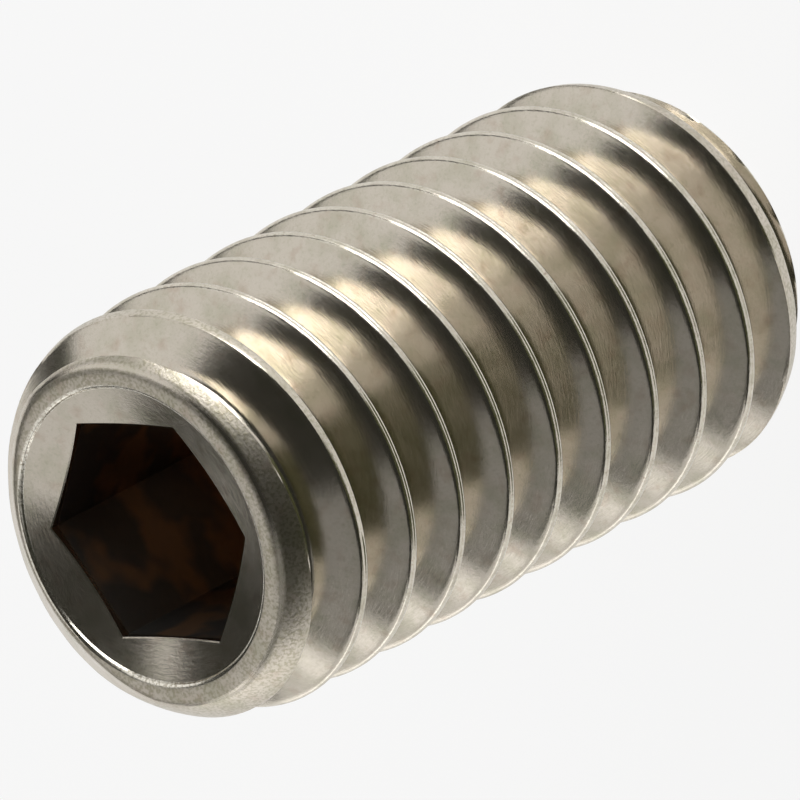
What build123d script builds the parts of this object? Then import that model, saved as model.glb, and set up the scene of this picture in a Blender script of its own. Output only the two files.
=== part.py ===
"""Socket set screw with a metric thread: one headless rod, threaded from end to end.

It stands on its flat point. +Z runs up the axis towards the hexagon socket, and the origin is
the centre of the flat point. Lengths are in millimetres.
"""

from build123d import *
import math
import os

# Driving dimensions: a metric M4 x 0.7 set screw of nominal length 8
major_diameter = 3.97
pitch = 0.7
length = 8.0
end_face_diameter = 3.26
crown_length = 0.85
point_diameter = 2.3
socket_across_flats = 2.06
socket_depth = 2.5
countersink_diameter = 2.84
countersink_angle = 148.0
drill_point_angle = 120.0

# How the socket's first corner and the start of the thread are turned about the axis, in degrees
socket_turn = 8.0
thread_turn = 313.0

# Thread form: flanks at 60 degrees, a flat crest an eighth of the pitch wide, a round root
half_flank_angle = math.radians(30)
crest_flat = pitch / 8
sharp_depth = (pitch - crest_flat) / 2 / math.tan(half_flank_angle)
thread_depth = 0.6134 * pitch
root_radius = sharp_depth - thread_depth
cutter_clearance = 0.05

# Worked out from those: each crown is an arc that leaves the full diameter as a tangent and
# reaches the end face's diameter at about 45 degrees, which the point's straight chamfer keeps
major_radius = major_diameter / 2
end_face_radius = end_face_diameter / 2
crown_drop = major_radius - end_face_radius
crown_radius = (crown_length**2 + crown_drop**2) / (2 * crown_drop)
crown_middle = major_radius - crown_radius + math.sqrt(crown_radius**2 - (crown_length / 2) ** 2)
point_radius = point_diameter / 2
point_chamfer = end_face_radius - point_radius
socket_radius = socket_across_flats / 2
socket_corner_radius = socket_radius / math.cos(math.radians(30))
socket_floor = length - socket_depth
countersink_depth = countersink_diameter / 2 / math.tan(math.radians(countersink_angle / 2))
drill_point_depth = socket_radius / math.tan(math.radians(drill_point_angle / 2))


def crowned_blank():
    """The rod before threading: crowned at both ends, with a chamfer down to the flat point."""
    point_edge = (point_radius, 0)
    low_rim = (end_face_radius, point_chamfer)
    low_middle = (crown_middle, point_chamfer + crown_length / 2)
    low_side = (major_radius, point_chamfer + crown_length)
    high_side = (major_radius, length - crown_length)
    high_middle = (crown_middle, length - crown_length / 2)
    high_rim = (end_face_radius, length)
    outline = [
        Line((0, 0), point_edge),
        Line(point_edge, low_rim),
        ThreePointArc(low_rim, low_middle, low_side),
        Line(low_side, high_side),
        ThreePointArc(high_side, high_middle, high_rim),
        Line(high_rim, (0, length)),
        Line((0, length), (0, 0)),
    ]
    return revolve(Plane.XZ * make_face(outline), Axis.Z)


def groove_turn():
    """One turn of the space between the thread's ridges: a V with a round root, up a helix."""
    opening_radius = major_radius + cutter_clearance
    opening_half = (pitch - crest_flat) / 2 + cutter_clearance * math.tan(half_flank_angle)
    tangent_half = root_radius * math.cos(half_flank_angle)
    tangent_radius = major_radius - sharp_depth + tangent_half / math.tan(half_flank_angle)
    upper_tangent = (tangent_radius, tangent_half)
    lower_tangent = (tangent_radius, -tangent_half)
    outline = [
        Line((opening_radius, -opening_half), (opening_radius, opening_half)),
        Line((opening_radius, opening_half), upper_tangent),
        ThreePointArc(upper_tangent, (major_radius - thread_depth, 0), lower_tangent),
        Line(lower_tangent, (opening_radius, -opening_half)),
    ]
    path = Helix(pitch=pitch, height=pitch, radius=major_radius)
    groove = sweep(Plane.XZ * make_face(outline), path=path, is_frenet=True)
    return Rot(0, 0, thread_turn) * groove


def hexagon_socket():
    """The key's recess: a hexagon with a drill point below it and a countersunk mouth."""
    hexagon = RegularPolygon(socket_corner_radius, 6, rotation=socket_turn)
    recess = Pos(0, 0, socket_floor) * extrude(hexagon, socket_depth + cutter_clearance)
    drill_point = Cone(0, socket_radius, drill_point_depth)
    mouth = Cone(0, countersink_diameter / 2, countersink_depth)
    recess += Pos(0, 0, socket_floor - drill_point_depth / 2) * drill_point
    return recess + Pos(0, 0, length - countersink_depth / 2) * mouth


# The groove is cut a turn at a time, from one pitch below the point to past the socket's face
set_screw = crowned_blank()
turn = groove_turn()
for step in range(-1, math.ceil(length / pitch) + 1):
    set_screw -= Pos(0, 0, step * pitch) * turn
set_screw -= hexagon_socket()
set_screw.label = "set_screw"

os.makedirs("parts", exist_ok=True)
export_step(set_screw, "parts/set_screw.step")
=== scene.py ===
# %% [markdown]
# # A socket set screw, from thread form to studio
#
# A set screw, also called a grub screw, is a headless rod of stainless steel. A thread runs from
# end to end, a hexagon socket takes the key, and a flat point at the far end does the clamping.
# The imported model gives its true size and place. This script makes the surface that the eye
# meets: rolled ridges, crowned ends and a countersunk socket, all as one closed mesh.

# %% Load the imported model
import math

import bpy
from mathutils import Matrix, Vector


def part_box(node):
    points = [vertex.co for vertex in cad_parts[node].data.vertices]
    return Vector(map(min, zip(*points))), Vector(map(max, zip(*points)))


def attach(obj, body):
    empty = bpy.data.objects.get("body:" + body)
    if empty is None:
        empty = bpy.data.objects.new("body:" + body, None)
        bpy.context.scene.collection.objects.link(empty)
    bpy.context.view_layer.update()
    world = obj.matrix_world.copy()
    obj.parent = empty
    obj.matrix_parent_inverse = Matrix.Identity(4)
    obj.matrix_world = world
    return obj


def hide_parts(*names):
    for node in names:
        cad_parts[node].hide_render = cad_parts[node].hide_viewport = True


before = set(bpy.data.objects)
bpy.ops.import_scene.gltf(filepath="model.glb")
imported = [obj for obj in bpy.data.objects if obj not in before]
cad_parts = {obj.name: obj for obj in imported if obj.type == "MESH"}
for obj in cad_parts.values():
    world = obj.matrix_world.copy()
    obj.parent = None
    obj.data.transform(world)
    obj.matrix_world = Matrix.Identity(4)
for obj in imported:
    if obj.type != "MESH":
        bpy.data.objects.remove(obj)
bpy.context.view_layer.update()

foot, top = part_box("set_screw")
height = top.z - foot.z
thread_radius = (top.x - foot.x) / 2
mm = 0.001
print("set screw", round(height / mm, 3), "mm high and", round(thread_radius * 2 / mm, 3), "mm across")

# %% [markdown]
# ## The rule of the surface
#
# Two rules make the outside. The thread is a groove that climbs one pitch in each turn, with
# flanks at 60 degrees to each other, a narrow crest and a round root. A die folds the metal up
# from both sides, so the crest has slightly rounded edges and a fine seam along its middle. The
# crown rounds the rod down at both ends. At every point the radius is the smaller of the two,
# just as a die rolls a groove into a blank whose ends were already rounded.

# %% Thread and crown sizes
pitch = 0.7 * mm
thread_turn = math.radians(313)
socket_turn = math.radians(8)
crest_half = pitch / 16
flank_slope = math.tan(math.radians(60))
thread_depth = 0.6134 * pitch
sharp_depth = (pitch / 2 - crest_half) * flank_slope
root_radius = sharp_depth - thread_depth
root_half = root_radius * math.cos(math.radians(30))
crest_seam = 0.005 * mm
seam_half = crest_half / 3
crest_rounding = 0.07 * mm

face_radius = 1.63 * mm
point_radius = 1.15 * mm
crown_length = 0.85 * mm
crown_drop = thread_radius - face_radius
crown_radius = (crown_length**2 + crown_drop**2) / (2 * crown_drop)
point_chamfer = face_radius - point_radius
face_edge = 0.16 * mm
face_tilt = math.radians(45)

steps_per_turn = 120
steps_per_pitch = 48
turns = math.ceil(height / pitch) + 3
print("thread of", round(height / pitch, 1), "pitches,", round(thread_depth / mm, 3), "mm deep")

# %% [markdown]
# ## A class for node maths
#
# Both the geometry tree and the shader below are long sums. `Term` wraps one socket, so that
# `radius - depth * mask` adds the Math nodes by itself. Colours and vectors go through Mix and
# Vector Math instead, because a Math node would turn a colour grey.

# %% Term and Nodes


class Term:
    """One socket's value in a sum: an operator adds the Math node that works it out."""

    def __init__(self, nodes, socket):
        self.nodes = nodes
        self.socket = socket

    def _math(self, operation, *values):
        settings = {"operation": operation}
        return self.nodes.add("ShaderNodeMath", settings, dict(enumerate(values))).term("Value")

    def __add__(self, other):
        return self._math("ADD", self, other)

    def __sub__(self, other):
        return self._math("SUBTRACT", self, other)

    def __rsub__(self, other):
        return self._math("SUBTRACT", other, self)

    def __mul__(self, other):
        return self._math("MULTIPLY", self, other)

    def __truediv__(self, other):
        return self._math("DIVIDE", self, other)

    __radd__ = __add__
    __rmul__ = __mul__

    def use(self, operation, *others):
        """Any other Math operation, such as SQRT or MINIMUM."""
        return self._math(operation, self, *others)

    def step(self, low, high):
        """0 below low and 1 above high, with a smooth rise between them."""
        settings = {"interpolation_type": "SMOOTHSTEP"}
        values = {"Value": self, "From Min": low, "From Max": high}
        return self.nodes.add("ShaderNodeMapRange", settings, values).term("Result")


class Made:
    """A node that was just added, with its outputs at hand."""

    def __init__(self, nodes, node):
        self.nodes = nodes
        self.node = node

    def out(self, name=0):
        return self.node.outputs[name]

    def term(self, name=0):
        return Term(self.nodes, self.out(name))


class Nodes:
    """A node tree that is filled through one method."""

    def __init__(self, tree):
        self.tree = tree

    def add(self, kind, settings=None, values=None):
        node = self.tree.nodes.new(kind)
        for name, setting in (settings or {}).items():
            setattr(node, name, setting)
        for name, value in (values or {}).items():
            self.put(node.inputs[name], value)
        return Made(self, node)

    def put(self, socket, value):
        value = value.socket if isinstance(value, Term) else value
        value = value.out() if isinstance(value, Made) else value
        if isinstance(value, bpy.types.NodeSocket):
            self.tree.links.new(value, socket)
        else:
            socket.default_value = value


print("node helpers are ready")

# %% [markdown]
# ## The threaded barrel, by Geometry Nodes
#
# A grid has one row for each step round the rod and one column for each step along it. Every
# row is pushed up by its share of the pitch, so the columns follow the helix and the crest stays
# a clean line. Rows then wrap round the axis at the radius that the rule gives. What would pass
# an end is held at that end, where the spare points fall on each other and are merged. One tree
# with the sizes as inputs keeps the rule in sight, and would make any other metric screw.

# %% Named inputs of the tree
skin_fade = 0.02 * mm
weld_gap = 0.0005 * mm
crest_fade = (0.8, 1.4)        # where the worn crest and its painted highlight end, in halves of its flat
inputs = {
    "Thread Radius": thread_radius,
    "Pitch": pitch,
    "Height": height - face_edge * (1 - math.cos(face_tilt)),
    "Full Height": height,
    "Thread Turn": thread_turn,
    "First Angle": socket_turn,
    "Crest Half": crest_half,
    "Crest Seam": crest_seam,
    "Crest Rounding": crest_rounding,
    "Thread Depth": thread_depth,
    "Root Radius": root_radius,
    "Crown Length": crown_length,
    "Crown Radius": crown_radius,
    "Point Chamfer": point_chamfer,
    "Point Radius": point_radius,
}


def named_input(tree, name, value, kind="NodeSocketFloat"):
    """Adds an input to the tree and gives back the identifier that a modifier needs."""
    socket = tree.interface.new_socket(name, in_out="INPUT", socket_type=kind)
    socket.default_value = value
    return socket.identifier


print("the tree will have", len(inputs), "sizes")

# %% The two rules as node sums


def thread_profile(size, z, helix):
    """The thread's radius at height z, and how far that place is from the crest's middle."""
    from_root = ((z - helix) / size["Pitch"] + 0.5).use("FRACT") - 0.5
    root_gap = from_root.use("ABSOLUTE") * size["Pitch"]
    crest_gap = size["Pitch"] / 2 - root_gap
    flank = size["Thread Radius"] - (crest_gap - size["Crest Half"]) * flank_slope
    root_centre = size["Thread Radius"] - size["Thread Depth"] + size["Root Radius"]
    squares = size["Root Radius"] * size["Root Radius"] - root_gap * root_gap
    root = root_centre - squares.use("MAXIMUM", 0.0).use("SQRT")
    in_root = root_gap.use("LESS_THAN", root_half)
    thread = flank + (root - flank) * in_root
    seam = size["Crest Seam"] * (1 - (crest_gap / seam_half).use("MINIMUM", 1.0))
    thread = thread.use("SMOOTH_MIN", size["Thread Radius"], size["Crest Rounding"]) - seam
    return thread, crest_gap


def blank_profile(size, z):
    """The radius of the crowned and chamfered blank at height z."""
    from_face = size["Full Height"] - z
    from_point = z - size["Point Chamfer"]
    near_end = from_face.use("MINIMUM", from_point.use("MAXIMUM", 0.0))
    short = (size["Crown Length"] - near_end).use("MAXIMUM", 0.0)
    arc = (size["Crown Radius"] * size["Crown Radius"] - short * short).use("SQRT")
    crown = size["Thread Radius"] - size["Crown Radius"] + arc
    return crown.use("MINIMUM", size["Point Radius"] + z)


def keep_skin(nodes, geometry, name, share):
    """Stores a share from 0 to 1 on every point, for the steel to read."""
    settings = {"data_type": "FLOAT", "domain": "POINT"}
    values = {"Geometry": geometry, "Name": name, "Value": share}
    return nodes.add("GeometryNodeStoreNamedAttribute", settings, values).out("Geometry")


print("thread and blank rules are ready")

# %% The thread tree


def thread_tree():
    tree = bpy.data.node_groups.new("threaded_barrel", "GeometryNodeTree")
    tree.interface.new_socket("Geometry", in_out="OUTPUT", socket_type="NodeSocketGeometry")
    names = {name: named_input(tree, name, value) for name, value in inputs.items()}
    names["Steel"] = named_input(tree, "Steel", None, "NodeSocketMaterial")
    nodes = Nodes(tree)
    given = nodes.add("NodeGroupInput")
    size = {name: given.term(name) for name in inputs}

    rows = steps_per_turn + 1
    columns = turns * steps_per_pitch + 1
    grid = nodes.add("GeometryNodeMeshGrid", {}, {"Vertices X": rows, "Vertices Y": columns})
    index = nodes.add("GeometryNodeInputIndex").term()
    row = (index / columns + 0.5 / columns).use("FLOOR")
    column = index - row * columns
    turn = row / steps_per_turn
    angle = turn * math.tau + size["First Angle"]

    helix = (angle - size["Thread Turn"]) / math.tau * size["Pitch"]
    first = (size["First Angle"] - size["Thread Turn"]) / math.tau
    climb = first.use("FLOORED_MODULO", 1.0) + turn + column / steps_per_pitch - 2.0
    z = (climb * size["Pitch"]).use("MAXIMUM", 0.0).use("MINIMUM", size["Height"])

    thread, crest_gap = thread_profile(size, z, helix)
    blank = blank_profile(size, z)
    radius = thread.use("MINIMUM", blank)
    place = nodes.add("ShaderNodeCombineXYZ", {}, {
        "X": radius * angle.use("COSINE"),
        "Y": radius * angle.use("SINE"),
        "Z": z,
    })
    moved = nodes.add("GeometryNodeSetPosition", {}, {"Geometry": grid, "Position": place})

    blank_share = (thread - blank).step(-skin_fade, skin_fade)
    # the crest share also tells the steel where to lay a painted highlight
    crest_share = 1 - (crest_gap / size["Crest Half"]).step(*crest_fade)
    marked = keep_skin(nodes, moved.out("Geometry"), "blank_skin", blank_share)
    marked = keep_skin(nodes, marked, "crest_skin", crest_share * (1 - blank_share))
    merged = nodes.add("GeometryNodeMergeByDistance", {}, {"Geometry": marked, "Distance": weld_gap})
    realized = nodes.add("GeometryNodeRealizeInstances", {}, {"Geometry": merged})
    steel_set = nodes.add("GeometryNodeSetMaterial", {}, {
        "Geometry": realized.out("Geometry"),
        "Material": given.out("Steel"),
    })
    result = nodes.add("NodeGroupOutput")
    nodes.put(result.node.inputs["Geometry"], steel_set.out("Geometry"))
    return tree, names


tree, tree_names = thread_tree()
print("thread tree has", len(tree.nodes), "nodes and", len(tree_names), "named inputs")

# %% Run the tree and keep its plain mesh


def run_tree(name, material):
    mesh = bpy.data.meshes.new(name)
    screw = bpy.data.objects.new(name, mesh)
    bpy.context.collection.objects.link(screw)
    modifier = screw.modifiers.new("thread", "NODES")
    modifier.node_group = tree
    modifier[tree_names["Steel"]] = material
    bpy.context.view_layer.update()
    graph = bpy.context.evaluated_depsgraph_get()
    screw.data = bpy.data.meshes.new_from_object(screw.evaluated_get(graph))
    screw.modifiers.remove(modifier)
    screw.data.name = name
    screw.data.materials.clear()            # the plain mesh comes with an empty slot
    screw.data.materials.append(material)
    return screw


steel = bpy.data.materials.new("stainless_steel")
screw = run_tree("screw_body", steel)
print("barrel:", len(screw.data.vertices), "points,", len(screw.data.polygons), "faces")

# %% [markdown]
# ## The socket and the two ends
#
# On the real screw a drill and a hexagonal punch make the socket, and a countersink eases the
# key in. Seen from above, the socket is a set of rings round the axis. Each ring has a point for
# every row of the barrel, so the rings close the barrel with no seam, and the hexagon's corners
# fall on rows because the rows start at a corner. The cone of the countersink meets the flat
# walls in six shallow arcs, which come from the ring where both rules give the same radius. A
# small round lip at the cone's rim catches a thin line of light.

# %% Socket sizes
key_half = 1.03 * mm
rim_radius = 1.42 * mm
rim_lip = 0.05 * mm
lip_tilts = [math.radians(tilt) for tilt in (0, 20, 45, 70)]
rim_drop = rim_lip * (1 - math.cos(lip_tilts[-1]))
cone_slope = 1 / math.tan(math.radians(74))
wall_edge = 0.012 * mm
socket_floor = height - 2.5 * mm
drill_depth = key_half / math.tan(math.radians(60))
drill_radius = key_half * 0.99
point_edge = 0.05 * mm
print("socket floor at", round(socket_floor / mm, 2), "mm up the screw")

# %% Rings that close the barrel
import bmesh


def hexagon_radius(angle):
    """How far the hexagon's wall is from the axis in that direction."""
    from_middle = (angle - socket_turn) % math.radians(60) - math.radians(30)
    return key_half / math.cos(from_middle)


def end_loop(mesh, at_top):
    """The barrel's open edge at one end, in order round the axis."""
    points = {p for edge in mesh.edges if edge.is_boundary for p in edge.verts}
    chosen = [p for p in points if (p.co.z > height / 2) == at_top]
    start = socket_turn - 0.01
    return sorted(chosen, key=lambda p: (math.atan2(p.co.y, p.co.x) - start) % math.tau)


def add_ring(mesh, last, rule):
    """A new ring inside the last one; rule gives its radius and height in each direction."""
    ring = []
    for point in last:
        angle = math.atan2(point.co.y, point.co.x)
        radius, z = rule(angle, point)
        ring.append(mesh.verts.new((radius * math.cos(angle), radius * math.sin(angle), z)))
    count = len(ring)
    for i in range(count):
        j = (i + 1) % count
        mesh.faces.new((last[i], last[j], ring[j], ring[i]))
    return ring


def round_ring(mesh, last, radius, z):
    return add_ring(mesh, last, lambda angle, point: (radius, z))


def close_fan(mesh, last, z):
    centre = mesh.verts.new((0, 0, z))
    for i in range(len(last)):
        mesh.faces.new((last[i], last[(i + 1) % len(last)], centre))


print("ring helpers are ready")

# %% Rings of the socket end


def face_rings(mesh, last):
    """Rings that turn the crown's slope into the flat end face, as tumbling does."""
    reach = face_edge * math.sin(face_tilt)
    first = [math.hypot(p.co.x, p.co.y) for p in last]
    for share in (2 / 3, 1 / 3, 0):
        tilt = face_tilt * share
        inward = reach - face_edge * math.sin(tilt)
        z = height - face_edge * (1 - math.cos(tilt))
        radii = iter([radius - inward for radius in first])
        last = add_ring(mesh, last, lambda angle, point: (next(radii), z))
    return last


def cone_rings(mesh, last):
    """The round lip, then the countersink down to the hexagon."""
    for tilt in lip_tilts:
        radius = rim_radius + rim_lip - rim_lip * math.sin(tilt)
        last = round_ring(mesh, last, radius, height - rim_lip * (1 - math.cos(tilt)))
    for share in (0.25, 0.5, 0.75, 1):
        def cone(angle, point):
            wall = hexagon_radius(angle) + wall_edge
            radius = rim_radius + (wall - rim_radius) * share
            return radius, height - rim_drop - (rim_radius - radius) * cone_slope
        last = add_ring(mesh, last, cone)
    return add_ring(mesh, last, lambda angle, point: (hexagon_radius(angle), point.co.z - wall_edge))


def socket_rings(mesh, last):
    """The six flat walls, and the drill's cone at the bottom."""
    for share in (0.1, 0.3, 0.6, 1):
        def wall(angle, point):
            radius = hexagon_radius(angle)
            mouth = height - rim_drop - (rim_radius - radius) * cone_slope - 2 * wall_edge
            return radius, mouth + (socket_floor - mouth) * share
        last = add_ring(mesh, last, wall)
    last = round_ring(mesh, last, drill_radius, socket_floor)
    for share in (0.7, 0.4, 0.1):
        last = round_ring(mesh, last, key_half * share, socket_floor - drill_depth * (1 - share))
    close_fan(mesh, last, socket_floor - drill_depth)


print("socket rings are ready")

# %% Close both ends


def close_point_end(mesh):
    last = end_loop(mesh, False)
    last = round_ring(mesh, last, point_radius - point_edge, 0)
    last = round_ring(mesh, last, point_radius / 2, 0)
    close_fan(mesh, last, 0)


def close_screw(screw):
    mesh = bmesh.new()
    mesh.from_mesh(screw.data)
    last = face_rings(mesh, end_loop(mesh, True))
    socket_rings(mesh, cone_rings(mesh, last))
    close_point_end(mesh)
    bmesh.ops.recalc_face_normals(mesh, faces=mesh.faces)
    open_edges = sum(1 for edge in mesh.edges if not edge.is_manifold)
    mesh.to_mesh(screw.data)
    mesh.free()
    screw.data.shade_smooth()
    screw.data.set_sharp_from_angle(angle=math.radians(24))
    return open_edges


open_edges = close_screw(screw)
print("closed screw:", len(screw.data.polygons), "faces and", open_edges, "open edges")

# %% [markdown]
# ## The camera
#
# The screw stands on its point, and the camera looks down at the socket from the front. It is
# rolled far over, so that the axis runs up to the right and the socket comes forward at the
# lower left. A very long lens from far off keeps the crest lines nearly parallel.

# %% Place the camera
view_elevation = math.radians(44.08)
picture_roll = math.radians(-117.8)
lens = 1156
camera_distance = 236 * mm
aim_back = 0.146 * mm
aim_rise = 0.151 * mm
aim = Vector((0, aim_back, height / 2 + aim_rise))

camera_data = bpy.data.cameras.new("camera")
camera_data.lens = lens
camera_data.clip_start = 0.01
camera_data.clip_end = 2.0
camera = bpy.data.objects.new("camera", camera_data)
bpy.context.collection.objects.link(camera)
back = Vector((0, -math.cos(view_elevation), math.sin(view_elevation)))
level = (-back).to_track_quat("-Z", "Y").to_matrix()
camera.rotation_euler = (level @ Matrix.Rotation(picture_roll, 3, "Z")).to_euler()
camera.location = aim + back * camera_distance
bpy.context.scene.camera = camera
print("camera", round(camera_distance / mm), "mm away")

# %% [markdown]
# ## The steel
#
# Stainless steel is one metal here, seen in a few skins. The rolled flanks are burnished, with
# faint olive and brown tints and fine marks that run round the thread. The crests and the lip
# of the socket are painted much lighter in places, partly as wear and partly as a painted
# highlight. The crowned ends are what is left of the sheared and tumbled blank, so they are
# duller and speckled. The socket's inside is painted dark as painted shade, with oily brown
# patches. The barrel's tree left two attributes that say where the blank's skin and the crests
# are, and the rest is told by radius and height, so that every tint stays on its place on the
# screw.

# %% Steel colours and grain
warm_steel = (0.62, 0.565, 0.485, 1)
olive_steel = (0.46, 0.44, 0.335, 1)
brown_steel = (0.46, 0.36, 0.28, 1)
dull_steel = (0.35, 0.315, 0.22, 1)
# painted highlight, partly wear: a much lighter steel for the crests and the socket's lip
wear_and_painted_highlight_steel = (0.86, 0.82, 0.72, 1)
oiled_steel = (0.55, 0.34, 0.20, 1)
# painted shade: a dark grey for the socket's inside, where shade falls in the recess
painted_socket_shade = (0.17, 0.17, 0.17, 1)
speck_size = 0.03 * mm
blotch_size = 0.3 * mm
bump_height = 0.01 * mm
marks_stretch = 14        # how much longer a mark is round the thread than along the screw
print("steel colours are set")

# %% Where each skin is


def noise(nodes, place, scale, detail):
    """A soft random pattern from 0 to 1; a larger scale makes smaller patches."""
    values = {"Vector": place, "Scale": scale, "Detail": detail}
    return nodes.add("ShaderNodeTexNoise", {}, values).term("Fac")


def layer(nodes, share, under, over):
    """One colour laid over another by that share."""
    values = {0: share, 6: under, 7: over}
    return nodes.add("ShaderNodeMix", {"data_type": "RGBA"}, values).out(2)


def skins(nodes, place):
    """The share, from 0 to 1, of crest, lip, end and socket skin at each place; the crest and lip
    carry a painted highlight, and the socket's inside a painted shade.
    """
    parts = nodes.add("ShaderNodeSeparateXYZ", {}, {"Vector": place})
    x, y, z = parts.term("X"), parts.term("Y"), parts.term("Z")
    reach = (x * x + y * y).use("SQRT")
    blank = nodes.add("ShaderNodeAttribute", {"attribute_name": "blank_skin"}).term("Fac")
    crest = nodes.add("ShaderNodeAttribute", {"attribute_name": "crest_skin"}).term("Fac")

    # the socket's lip takes a painted highlight in the steel
    lip = reach.step(rim_radius - 0.004 * mm, rim_radius)
    lip = lip * (1 - reach.step(rim_radius + rim_lip * 0.8, rim_radius + rim_lip))
    lip = lip * z.step(height - 0.08 * mm, height - 0.07 * mm)
    face = z.step(height - 0.02 * mm, height - 0.01 * mm)
    ends = blank.use("MAXIMUM", face) * (1 - lip)

    # the socket's inside below the countersink, where the painted shade goes
    inside = (1 - reach.step(1.2 * mm, 1.25 * mm)) * z.step(height / 2, height / 2 + mm)
    inside = inside * (1 - z.step(height - 0.22 * mm, height - 0.16 * mm))
    return crest, lip, ends, inside


print("skins are ready")

# %% Build the steel


def build_steel(material):
    material.use_nodes = True
    material.node_tree.nodes.clear()
    nodes = Nodes(material.node_tree)
    place = nodes.add("ShaderNodeTexCoord").out("Object")
    crest, lip, ends, inside = skins(nodes, place)

    blotch = noise(nodes, place, 1 / blotch_size, 4.0)
    stain = noise(nodes, place, 1.7 / blotch_size, 3.0)
    speck = noise(nodes, place, 1 / speck_size, 3.0)
    oil = noise(nodes, place, 0.5 / blotch_size, 2.0)
    flattened = nodes.add("ShaderNodeMapping", {}, {"Vector": place, "Scale": (1, 1, marks_stretch)})
    marks = noise(nodes, flattened, 3 / blotch_size, 5.0)

    olive_share = blotch.step(0.4, 0.75) * 0.6 + speck.step(0.5, 0.7) * 0.3
    # painted highlight, partly wear: on the crests in patches and on the whole lip
    wear_and_painted_highlight = (crest * stain.step(0.35, 0.6)).use("MAXIMUM", lip)
    colour = layer(nodes, olive_share, warm_steel, olive_steel)
    colour = layer(nodes, stain.step(0.5, 0.8) * 0.5, colour, brown_steel)
    colour = layer(nodes, wear_and_painted_highlight * speck.step(0.38, 0.55), colour, wear_and_painted_highlight_steel)
    colour = layer(nodes, ends * speck.step(0.42, 0.62) * 0.6, colour, dull_steel)
    # painted shade in the socket's inside, broken by oily brown patches
    painted_shade_and_oil_in_socket = layer(nodes, oil.step(0.42, 0.58), painted_socket_shade, oiled_steel)
    colour = layer(nodes, inside * 0.85, colour, painted_shade_and_oil_in_socket)

    roughness = 0.19 + inside * 0.2 - crest * 0.06 + ends * 0.16 + (marks - 0.5) * 0.12
    grain = speck * (0.15 + ends * 0.85) + marks * 0.3
    bump = nodes.add("ShaderNodeBump", {}, {"Height": grain, "Strength": 0.25, "Distance": bump_height})
    shader = nodes.add("ShaderNodeBsdfPrincipled", {}, {
        "Base Color": colour,
        "Metallic": 1.0,
        "Roughness": roughness,
        "Normal": bump.out("Normal"),
    })
    result = nodes.add("ShaderNodeOutputMaterial")
    nodes.put(result.node.inputs["Surface"], shader.out("BSDF"))


build_steel(steel)
print("steel has", len(steel.node_tree.nodes), "nodes, and the screw is", screw.data.materials[0].name)

# %% [markdown]
# ## The room
#
# Polished metal shows what stands round it, so the room is most of the finish. The floor and a
# low wall are matt and keep a soft shadow, and Light Path turns them nearly white for the eye
# and for reflections, so the steel shows the same pale room. The wall can be looked through
# from behind, because a camera close to the ground would otherwise stand outside it.

# %% Floor and wall
floor_radius = 600 * mm
wall_radius = 145 * mm
wall_height = 30 * mm
white_share = 0.88


def pale_paint():
    """Matt paint that keeps a soft shadow, and looks nearly white to the eye and in the steel."""
    paint = bpy.data.materials.new("pale_paint")
    paint.use_nodes = True
    paint.node_tree.nodes.clear()
    nodes = Nodes(paint.node_tree)
    ray = nodes.add("ShaderNodeLightPath")
    seen = ray.term("Is Camera Ray").use("MAXIMUM", ray.term("Is Glossy Ray"))
    seen = seen.use("MAXIMUM", ray.term("Is Transmission Ray"))
    matt = nodes.add("ShaderNodeBsdfDiffuse", {}, {"Color": (0.9, 0.9, 0.89, 1)})
    white = nodes.add("ShaderNodeEmission", {}, {"Color": (1, 1, 1, 1), "Strength": 1.0})
    front = nodes.add("ShaderNodeMixShader", {}, {"Fac": seen * white_share, 1: matt, 2: white})
    clear = nodes.add("ShaderNodeBsdfTransparent")
    back = nodes.add("ShaderNodeNewGeometry").term("Backfacing")
    sheet = nodes.add("ShaderNodeMixShader", {}, {"Fac": back, 1: front, 2: clear})
    result = nodes.add("ShaderNodeOutputMaterial")
    nodes.put(result.node.inputs["Surface"], sheet.out())
    return paint


def stage_mesh(name, points, faces, paint):
    mesh = bpy.data.meshes.new(name)
    mesh.from_pydata(points, [], faces)
    mesh.materials.append(paint)
    piece = bpy.data.objects.new(name, mesh)
    bpy.context.collection.objects.link(piece)
    return piece


def round_loop(radius, z, sides=64):
    turns = [math.tau * i / sides for i in range(sides)]
    return [(radius * math.cos(turn), radius * math.sin(turn), z) for turn in turns]


def make_room(paint):
    """A round floor, and a low wall that can be looked through from behind."""
    ground = round_loop(floor_radius, 0)
    sides = len(ground)
    stage_mesh("floor", ground, [tuple(range(sides))], paint)
    wall = [(i + sides, (i + 1) % sides + sides, (i + 1) % sides, i) for i in range(sides)]
    stage_mesh("wall", round_loop(wall_radius, 0) + round_loop(wall_radius, wall_height), wall, paint)


make_room(pale_paint())
print("floor and wall are in place")

# %% [markdown]
# ## The lamps
#
# A flank that faces up and forward sends part of its light to the ceiling, and the rest to the
# next flank and out to the front. A dim ceiling therefore leaves a dark band beside each crest.
# A tall soft box at the front right gives every turn its wide pale streak, one high on the right
# fills the smooth upper side, and an olive card keeps the middle in shade.

# %% Soft boxes and a card
white_watts = 4.0        # watts for each square metre of a soft box that looks white in a mirror


def away_from(azimuth, elevation):
    """A direction from the screw; azimuth 0 is in front, and positive is to the right."""
    turn, rise = math.radians(azimuth), math.radians(elevation)
    return Vector((math.sin(turn) * math.cos(rise), -math.cos(turn) * math.cos(rise), math.sin(rise)))


def aim_at_screw(thing, azimuth, elevation, distance):
    away = away_from(azimuth, elevation)
    thing.location = Vector((0, 0, height / 2)) + away * distance
    thing.rotation_euler = (-away).to_track_quat("-Z", "Y").to_euler()


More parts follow.
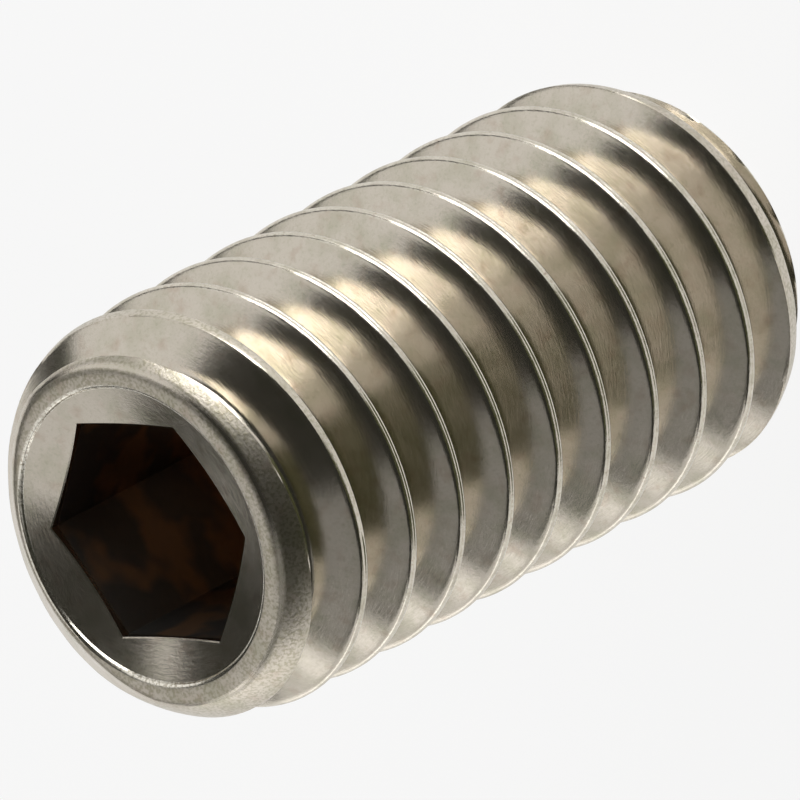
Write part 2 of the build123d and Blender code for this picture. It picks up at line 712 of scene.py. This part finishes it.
def make_lamp(name, azimuth, elevation, distance, size, brightness):
    """A soft box, where a brightness of 1 looks white in a mirror."""
    data = bpy.data.lights.new(name, "AREA")
    data.shape = "RECTANGLE"
    data.size, data.size_y = size
    data.energy = white_watts * brightness * size[0] * size[1]
    lamp = bpy.data.objects.new(name, data)
    bpy.context.collection.objects.link(lamp)
    aim_at_screw(lamp, azimuth, elevation, distance)
    lamp.visible_camera = False
    return lamp


def make_card(name, azimuth, elevation, distance, size, shade):
    """A matt card that only the steel sees; studios call it a flag."""
    paint = bpy.data.materials.new(name)
    paint.use_nodes = True
    paint.node_tree.nodes["Principled BSDF"].inputs["Base Color"].default_value = shade
    paint.node_tree.nodes["Principled BSDF"].inputs["Roughness"].default_value = 1.0
    x, y = size[0] / 2, size[1] / 2
    card = stage_mesh(name, [(-x, -y, 0), (x, -y, 0), (x, y, 0), (-x, y, 0)], [(0, 1, 2, 3)], paint)
    aim_at_screw(card, azimuth, elevation, distance)
    card.visible_camera = False
    card.visible_shadow = False
    card.visible_diffuse = False
    return card


print("lamp helpers are ready")

# %% Light the screw
make_lamp("key_lamp", 54, 4, 40 * mm, (32 * mm, 40 * mm), 3.2)
make_lamp("side_lamp", 108, 40, 80 * mm, (80 * mm, 60 * mm), 0.68)
make_lamp("fill_lamp", -120, 12, 70 * mm, (70 * mm, 50 * mm), 0.6)
make_lamp("left_lamp", -95, 55, 80 * mm, (60 * mm, 50 * mm), 0.2)
make_lamp("back_lamp", -158, 46, 80 * mm, (80 * mm, 60 * mm), 0.55)
make_card("olive_flag", -28, -5, 16 * mm, (24 * mm, 16 * mm), (0.14, 0.15, 0.07, 1))

room = bpy.data.worlds.new("room")
room.use_nodes = True
room.node_tree.nodes["Background"].inputs["Color"].default_value = (0.035, 0.035, 0.03, 1)
room.node_tree.nodes["Background"].inputs["Strength"].default_value = 1.0
bpy.context.scene.world = room
bpy.context.scene.view_settings.view_transform = "Standard"
print("studio is lit")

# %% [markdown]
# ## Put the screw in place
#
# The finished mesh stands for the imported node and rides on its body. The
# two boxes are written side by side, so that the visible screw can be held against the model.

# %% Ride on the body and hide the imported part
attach(screw, "root")
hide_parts("set_screw")
